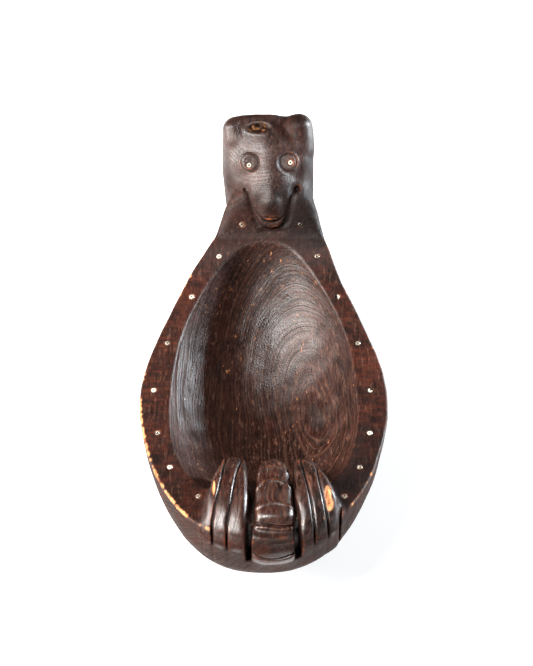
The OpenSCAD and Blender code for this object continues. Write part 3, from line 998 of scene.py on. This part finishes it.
def wear_masks(me, verts, normal):
    """Where the wood is worn, polished or bare, where it is darker, and where shade is painted into
    creases, onto the head's right-facing side and onto its crown, as values at its points.
    """
    count = len(verts)
    x, y, z = verts[:, 0], verts[:, 1], verts[:, 2]
    bend = bending(me, verts, normal)
    edge_bend = around(me, count, bend, 3)
    attribute(me, "edge", np.clip(edge_bend * 2.4 - 0.5, 0, 1))
    # painted shade: the concave creases, found by curvature
    attribute(me, "painted_crease_shade", np.clip(-edge_bend * 1.9 - 0.16, 0, 1))
    attribute(me, "ring", ring_radius(x, y, z) / RING_WIDTH)
    top = rim_height(y)
    flat = (1 - smooth(0.3, 1.6, np.abs(z - top))) * smooth(0.5, 0.93, normal[:, 2])
    flat = flat * (1 - smooth(50, 92, y))
    attribute(me, "rim", around(me, count, flat, 2))
    attribute(me, "inside", 1 - smooth(-1, 2, as_distance(hollow_share, x, y, z)))
    outer = np.abs(as_distance(hull_share, x, y, z)) < 3
    hull = outer * (1 - smooth(0.3, 0.75, normal[:, 2])) * (1 - smooth(60, 95, y))
    neck = smooth(66, 90, y) * (1 - smooth(98, 112, z))
    hull = np.maximum(hull, 0.75 * neck)
    s, h = face_axes(y, z)
    knot = (1 - smooth(0.6, 1.15, knot_reach(x - HEAD_X, s))) * (h > -6)
    # the head's right-facing side, where shade is painted and the shine is dulled
    cheek = (y > 92) * (z > 66) * smooth(0.45, 0.75, normal[:, 0])
    hull = np.maximum(hull, np.maximum(knot, 0.7 * cheek * (1 - smooth(112, 122, z))))
    ear = smooth(6, 13, x - HEAD_X) * smooth(9, 16, s) * (1 - smooth(0.3, 0.6, normal[:, 0]))
    hull = np.maximum(hull, 0.85 * ear)
    attribute(me, "hull", around(me, count, hull, 8))
    grips = smooth(-106, -114, y) * smooth(80.5, 83, z)
    # darkening and painted shade: rim darker toward the tail and the right, throat darker toward the
    # right, painted shade on the head's right-facing side and on the crown above z 126, knot darker
    darkening_and_painted_shade = smooth(20, 100, -y) * (0.4 + 0.6 * smooth(10, 40, x)) * np.clip(flat, 0, 1)
    darkening_and_painted_shade = np.maximum(darkening_and_painted_shade, neck * (0.3 + 0.6 * smooth(2, 26, x)))
    darkening_and_painted_shade = np.maximum(darkening_and_painted_shade, 0.7 * cheek)
    darkening_and_painted_shade = np.maximum(np.maximum(around(me, count, darkening_and_painted_shade, 3), 0.55 * smooth(126, 130, z)), 0.8 * knot)
    attribute(me, "darkening_and_painted_shade", darkening_and_painted_shade)
    attribute(me, "shine", around(me, count, np.maximum(grips, 0.6 * smooth(98, 110, z)), 4))
    bare = np.zeros(count)
    for cx, cy, cz, r in CHIPS:
        gap = np.sqrt((x - cx) ** 2 + (y - cy) ** 2 + (z - cz) ** 2)
        bare = np.maximum(bare, 1 - smooth(r - 0.1, r + 0.7, gap))
    for cx, cy, cz, rx, ry, rz in FLAKES:
        gap = np.sqrt(((x - cx) / rx) ** 2 + ((y - cy) / ry) ** 2 + ((z - cz) / rz) ** 2)
        bare = np.maximum(bare, 1 - smooth(1.0, 1.18, gap))
    bare = np.maximum(bare, 0.22 * knot * smooth(0.1, 1.0, wavy(2 * x, 2 * y, 2 * z, CHISEL)))
    attribute(me, "bare", bare)


verts, faces, normal = carve()
me = mesh_of("carved_wood", verts * MM, faces)
body = bpy.data.objects.new("carved_wood", me)
bpy.context.collection.objects.link(body)
me.materials.append(wood_material())
wear_masks(me, verts, normal)
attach(body, "root")
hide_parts("carved_body")

# ---------------------------------------------------------------- the beads

BRIGHT = bead_material("bead_bright", srgb(206, 199, 180), srgb(96, 70, 50), 0.5)
DULL = bead_material("bead_dull", srgb(160, 142, 118), srgb(62, 42, 32), 0.85)
DARK = bead_material("bead_dark", srgb(92, 76, 64), srgb(34, 22, 17), 1.0)
LOOK = {"rim_bead_left_1": DULL, "rim_bead_left_4": DULL, "rim_bead_left_6": DULL,
        "rim_bead_left_8": DULL, "rim_bead_right_2": DULL, "rim_bead_right_4": DULL,
        "rim_bead_right_7": DULL, "rim_bead_right_8": DULL, "rim_bead_right_1": DARK}
for name, _, _ in SOCKETS:
    for ob in bpy.data.objects:
        if ob.type == "MESH" and ob.name.split(".")[0] == name:
            ob.data.materials.clear()
            ob.data.materials.append(LOOK.get(name, BRIGHT))


# a broken bead's section: distance from its axis, height over the socket's floor
BEAD_PROFILE = ((0.55, 0.15), (0.75, 0.0), (1.25, 0.0), (1.58, 0.35), (1.58, 1.85),
                (1.25, 2.2), (0.75, 2.2), (0.55, 2.0))


def broken_bead(node, start, end, seed):
    """The part of a ring bead that is left in its socket, between two angles."""
    _, at, facing = next(row for row in SOCKETS if row[0] == node)
    r = np.random.default_rng(seed)
    across = Vector((1, 0, 0))
    along_rim = facing.cross(across)
    n, steps = len(BEAD_PROFILE), 14
    points, sides = [], []
    for k in range(steps + 1):
        for radius, up in BEAD_PROFILE:
            ragged = (r.uniform(-0.16, 0.16) if k in (0, steps) else 0)
            a = math.radians(start + (end - start) * k / steps) + ragged
            worn = 1 + 0.04 * math.sin(2.3 * k + up)
            p = (at + across * (radius * worn * math.cos(a)) + along_rim * (radius * worn * math.sin(a))
                 + facing * (up + BEAD_PROUD - BEAD_H))
            points.append([p.x * MM, p.y * MM, p.z * MM])
    for k in range(steps):
        for i in range(n):
            a, b = k * n + i, k * n + (i + 1) % n
            sides.append((a, b, b + n, a + n))
    sides.append(tuple(range(n - 1, -1, -1)))
    sides.append(tuple(steps * n + i for i in range(n)))
    data = mesh_of(node + "_shard", np.array(points), sides, False)
    data.materials.append(DULL if seed % 2 else BRIGHT)
    ob = bpy.data.objects.new(node + "_shard", data)
    bpy.context.collection.objects.link(ob)
    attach(ob, "root")
    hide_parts(node)


broken_bead("rim_bead_right_3", -75, 95, 4)
broken_bead("rim_bead_right_5", 115, 330, 6)

# ---------------------------------------------------------------- floor, light, camera

# in metres and degrees
FLOOR_REACH = 3.2
CENTRE = Vector((0.00175, 0.015, 0.070))
CAMERA_FAR, CAMERA_TILT, CAMERA_LENS = 1.43, 51.0, 120.0
WORLD_LIGHT = 0.07

corners = [(i * FLOOR_REACH, j * FLOOR_REACH, 0) for i, j in ((-1, -1), (1, -1), (1, 1), (-1, 1))]
floor = bpy.data.objects.new("floor", mesh_of("floor", np.array(corners), [(0, 1, 2, 3)]))
bpy.context.collection.objects.link(floor)
floor.data.materials.append(floor_material())


def soft_light(name, azimuth, height, far, wide, power, tint):
    """A square light that faces the bowl; its angles are round and above the bowl."""
    data = bpy.data.lights.new(name, "AREA")
    data.shape, data.size, data.energy, data.color = "SQUARE", wide, power, tint
    ob = bpy.data.objects.new(name, data)
    a, e = math.radians(azimuth), math.radians(height)
    way = Vector((math.sin(a) * math.cos(e), -math.cos(a) * math.cos(e), math.sin(e)))
    ob.location = CENTRE + way * far
    ob.rotation_euler = way.to_track_quat("Z", "Y").to_euler()
    bpy.context.collection.objects.link(ob)


soft_light("left_box", -84, 24, 1.4, 0.6, 44, (1.0, 0.92, 0.87))
soft_light("front_box", -56, 60, 1.4, 0.38, 31, (1.0, 0.96, 0.93))
soft_light("right_strip", 113, 11, 1.3, 0.28, 40, (0.87, 0.94, 1.0))
world = bpy.data.worlds.new("studio")
bpy.context.scene.world = world
world.use_nodes = True
world.node_tree.nodes["Background"].inputs[0].default_value = (1, 1, 1, 1)
world.node_tree.nodes["Background"].inputs[1].default_value = WORLD_LIGHT
bpy.context.scene.view_settings.view_transform = "Standard"

lens = bpy.data.cameras.new("camera")
lens.lens = CAMERA_LENS
camera = bpy.data.objects.new("camera", lens)
bpy.context.collection.objects.link(camera)
tilt = math.radians(CAMERA_TILT)
camera.location = CENTRE + CAMERA_FAR * Vector((0, -math.cos(tilt), math.sin(tilt)))
camera.rotation_euler = (math.pi / 2 - tilt, 0, 0)
bpy.context.scene.camera = camera
